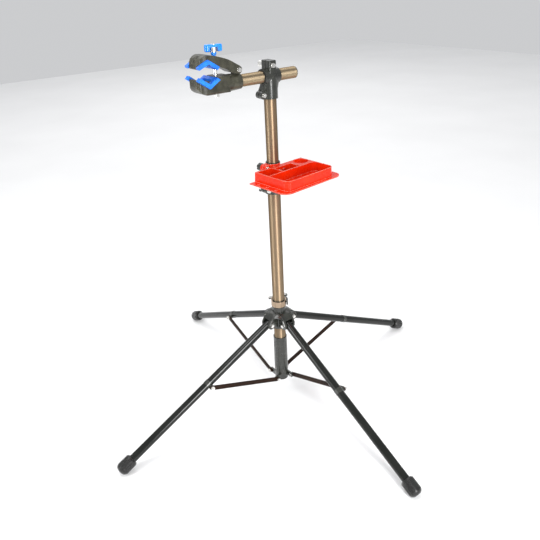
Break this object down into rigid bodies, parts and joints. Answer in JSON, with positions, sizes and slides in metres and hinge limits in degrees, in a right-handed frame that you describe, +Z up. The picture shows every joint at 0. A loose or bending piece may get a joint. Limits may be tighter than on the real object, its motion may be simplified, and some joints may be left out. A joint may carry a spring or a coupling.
{
  "type": "bike repair stand",
  "caption": "Folding bicycle repair stand with a telescopic mast on spreading legs, a swivelling V-jaw clamp on a cross arm and a divided tool tray.",
  "frame": {"origin": "on the floor, under the mast's axis", "axes": "+Z up; -X towards the clamp, with one leg along each of +X, -X, +Y and -Y; the tray is on the -Y side"},
  "size_m": [1.2226, 1.2226, 1.158],
  "materials": {
    "bronze_tube": "metallic bronze paint, glossy",
    "black_tube": "gloss black powder coat",
    "strut_steel": "satin dark brown-black",
    "black_nylon": "moulded, fine grain",
    "jaw_plastic": "moulded, fine grain",
    "liner_plastic": "smooth",
    "blue_pad": "smooth elastomer",
    "blue_plastic": "gloss",
    "red_plastic": "gloss",
    "bronze_band": "turned, bronze tint",
    "zinc_steel": "zinc plated",
    "black_rubber": "matte, ribbed"
  },
  "bodies": {
    "root": {"lower_mast_tube": "bronze_tube", "mast_sleeve": "black_nylon", "strut_anchor_bolts": "zinc_steel", "strut_anchor_nuts": "zinc_steel", "height_clamp": "black_nylon", "height_skewer": "zinc_steel"},
    "height_lever": {"height_lever": "black_nylon"},
    "upper_mast": {"upper_mast_tube": "bronze_tube"},
    "head": {"arm_head": "black_nylon", "head_mast_bolt": "zinc_steel", "head_arm_bolt": "zinc_steel"},
    "head_knob": {"head_arm_knob": "zinc_steel"},
    "arm_sleeve": {"arm_liner": "liner_plastic"},
    "arm": {"arm_tube": "bronze_tube", "arm_end_plug": "black_nylon", "lower_jaw": "jaw_plastic", "lower_jaw_pad": "blue_pad", "clamp_stud": "zinc_steel", "jaw_hinge_bolt": "zinc_steel"},
    "upper_jaw": {"upper_jaw": "jaw_plastic", "upper_jaw_pad": "blue_pad"},
    "collar": {"clamp_collar": "blue_plastic"},
    "knob": {"clamp_knob": "blue_plastic", "knob_nut": "zinc_steel"},
    "tray_sleeve": {"tray_liner": "liner_plastic"},
    "tray": {"tool_tray": "red_plastic", "tray_clamp": "red_plastic", "tray_screws": "zinc_steel", "tray_clamp_bolt": "zinc_steel"},
    "tray_knob": {"tray_clamp_knob": "black_nylon"},
    "hub": {"leg_hub": "black_nylon", "leg_pivot_bolts": "zinc_steel", "hub_lock_band": "bronze_band", "hub_lock_skewer": "zinc_steel"},
    "hub_lever": {"hub_lock_lever": "black_nylon"},
    "rear_leg": {"rear_leg_tube": "black_tube", "rear_foot": "black_rubber", "rear_strut_bracket": "black_nylon"},
    "rear_strut": {"rear_strut": "strut_steel", "rear_strut_bolt": "zinc_steel"},
    "right_leg": {"right_leg_tube": "black_tube", "right_foot": "black_rubber", "right_strut_bracket": "black_nylon"},
    "right_strut": {"right_strut": "strut_steel", "right_strut_bolt": "zinc_steel"},
    "front_leg": {"front_leg_tube": "black_tube", "front_foot": "black_rubber", "front_strut_bracket": "black_nylon"},
    "front_strut": {"front_strut": "strut_steel", "front_strut_bolt": "zinc_steel"},
    "left_leg": {"left_leg_tube": "black_tube", "left_foot": "black_rubber", "left_strut_bracket": "black_nylon"},
    "left_strut": {"left_strut": "strut_steel", "left_strut_bolt": "zinc_steel"}
  },
  "joints": [
    {"name": "hub_slide", "type": "slide", "parent": "root", "child": "hub", "axis": [0, 0, 1], "range_m": [0, 0.3212]},
    {"name": "hub_lever_turn", "type": "hinge", "parent": "hub", "child": "hub_lever", "pos_m": [0.03543, 0.01134, 0.356], "axis": [0, 0, 1], "range_deg": [0, 150]},
    {"name": "height_lever_turn", "type": "hinge", "parent": "root", "child": "height_lever", "pos_m": [-0.029, 0.022, 0.7455], "axis": [0, 0, 1], "range_deg": [0, 150]},
    {"name": "mast_slide", "type": "slide", "parent": "root", "child": "upper_mast", "axis": [0, 0, 1], "range_m": [-0.012, 0.4]},
    {"name": "head_swivel", "type": "hinge", "parent": "upper_mast", "child": "head", "pos_m": [0, 0, 1.02], "axis": [0, 0, 1], "continuous": true},
    {"name": "head_knob_turn", "type": "hinge", "parent": "head", "child": "head_knob", "pos_m": [0, 0.03, 1.09], "axis": [0, 1, 0], "continuous": true},
    {"name": "arm_turn", "type": "hinge", "parent": "head", "child": "arm_sleeve", "pos_m": [0, 0, 1.061], "axis": [1, 0, 0], "continuous": true},
    {"name": "arm_slide", "type": "slide", "parent": "arm_sleeve", "child": "arm", "axis": [1, 0, 0], "range_m": [-0.055, 0.06]},
    {"name": "jaw_hinge", "type": "hinge", "parent": "arm", "child": "upper_jaw", "pos_m": [-0.107, 0, 1.0915], "axis": [0, 1, 0], "range_deg": [-7, 8]},
    {"name": "collar_slide", "type": "slide", "parent": "arm", "child": "collar", "axis": [0, 0, 1], "range_m": [-0.0092, 0.0105]},
    {"name": "knob_turn", "type": "hinge", "parent": "collar", "child": "knob", "pos_m": [-0.168, 0, 1.145], "axis": [0, 0, 1], "continuous": true},
    {"name": "tray_slide", "type": "slide", "parent": "upper_mast", "child": "tray_sleeve", "axis": [0, 0, 1], "range_m": [0, 0.15]},
    {"name": "tray_swivel", "type": "hinge", "parent": "tray_sleeve", "child": "tray", "pos_m": [0, 0, 0.808], "axis": [0, 0, 1], "continuous": true},
    {"name": "tray_knob_turn", "type": "hinge", "parent": "tray", "child": "tray_knob", "pos_m": [-0.02984, -0.00314, 0.8115], "axis": [-0.1045, 0.9945, 0], "continuous": true},
    {"name": "rear_leg_fold", "type": "hinge", "parent": "hub", "child": "rear_leg", "pos_m": [0.0444, 0, 0.2908], "axis": [0, 1, 0], "range_deg": [0, 61.7]},
    {"name": "rear_strut_fold", "type": "hinge", "parent": "root", "child": "rear_strut", "pos_m": [0.033, 0, 0.073], "axis": [0, -1, 0], "range_deg": [0, 65.97]},
    {"name": "right_leg_fold", "type": "hinge", "parent": "hub", "child": "right_leg", "pos_m": [0, 0.0444, 0.2908], "axis": [-1, 0, 0], "range_deg": [0, 61.7]},
    {"name": "right_strut_fold", "type": "hinge", "parent": "root", "child": "right_strut", "pos_m": [0, 0.033, 0.073], "axis": [1, 0, 0], "range_deg": [0, 65.97]},
    {"name": "front_leg_fold", "type": "hinge", "parent": "hub", "child": "front_leg", "pos_m": [-0.0444, 0, 0.2908], "axis": [0, -1, 0], "range_deg": [0, 61.7]},
    {"name": "front_strut_fold", "type": "hinge", "parent": "root", "child": "front_strut", "pos_m": [-0.033, 0, 0.073], "axis": [0, 1, 0], "range_deg": [0, 65.97]},
    {"name": "left_leg_fold", "type": "hinge", "parent": "hub", "child": "left_leg", "pos_m": [0, -0.0444, 0.2908], "axis": [1, 0, 0], "range_deg": [0, 61.7]},
    {"name": "left_strut_fold", "type": "hinge", "parent": "root", "child": "left_strut", "pos_m": [0, -0.033, 0.073], "axis": [-1, 0, 0], "range_deg": [0, 65.97]}
  ],
  "couplings": [
    {"joint": "collar_slide", "follows": "jaw_hinge", "m_per_rad": 0.074},
    {"joint": "rear_leg_fold", "follows": "hub_slide", "rad_per_m": 3.3499},
    {"joint": "rear_strut_fold", "follows": "hub_slide", "rad_per_m": 3.5822},
    {"joint": "right_leg_fold", "follows": "hub_slide", "rad_per_m": 3.3499},
    {"joint": "right_strut_fold", "follows": "hub_slide", "rad_per_m": 3.5822},
    {"joint": "front_leg_fold", "follows": "hub_slide", "rad_per_m": 3.3499},
    {"joint": "front_strut_fold", "follows": "hub_slide", "rad_per_m": 3.5822},
    {"joint": "left_leg_fold", "follows": "hub_slide", "rad_per_m": 3.3499},
    {"joint": "left_strut_fold", "follows": "hub_slide", "rad_per_m": 3.5822}
  ]
}
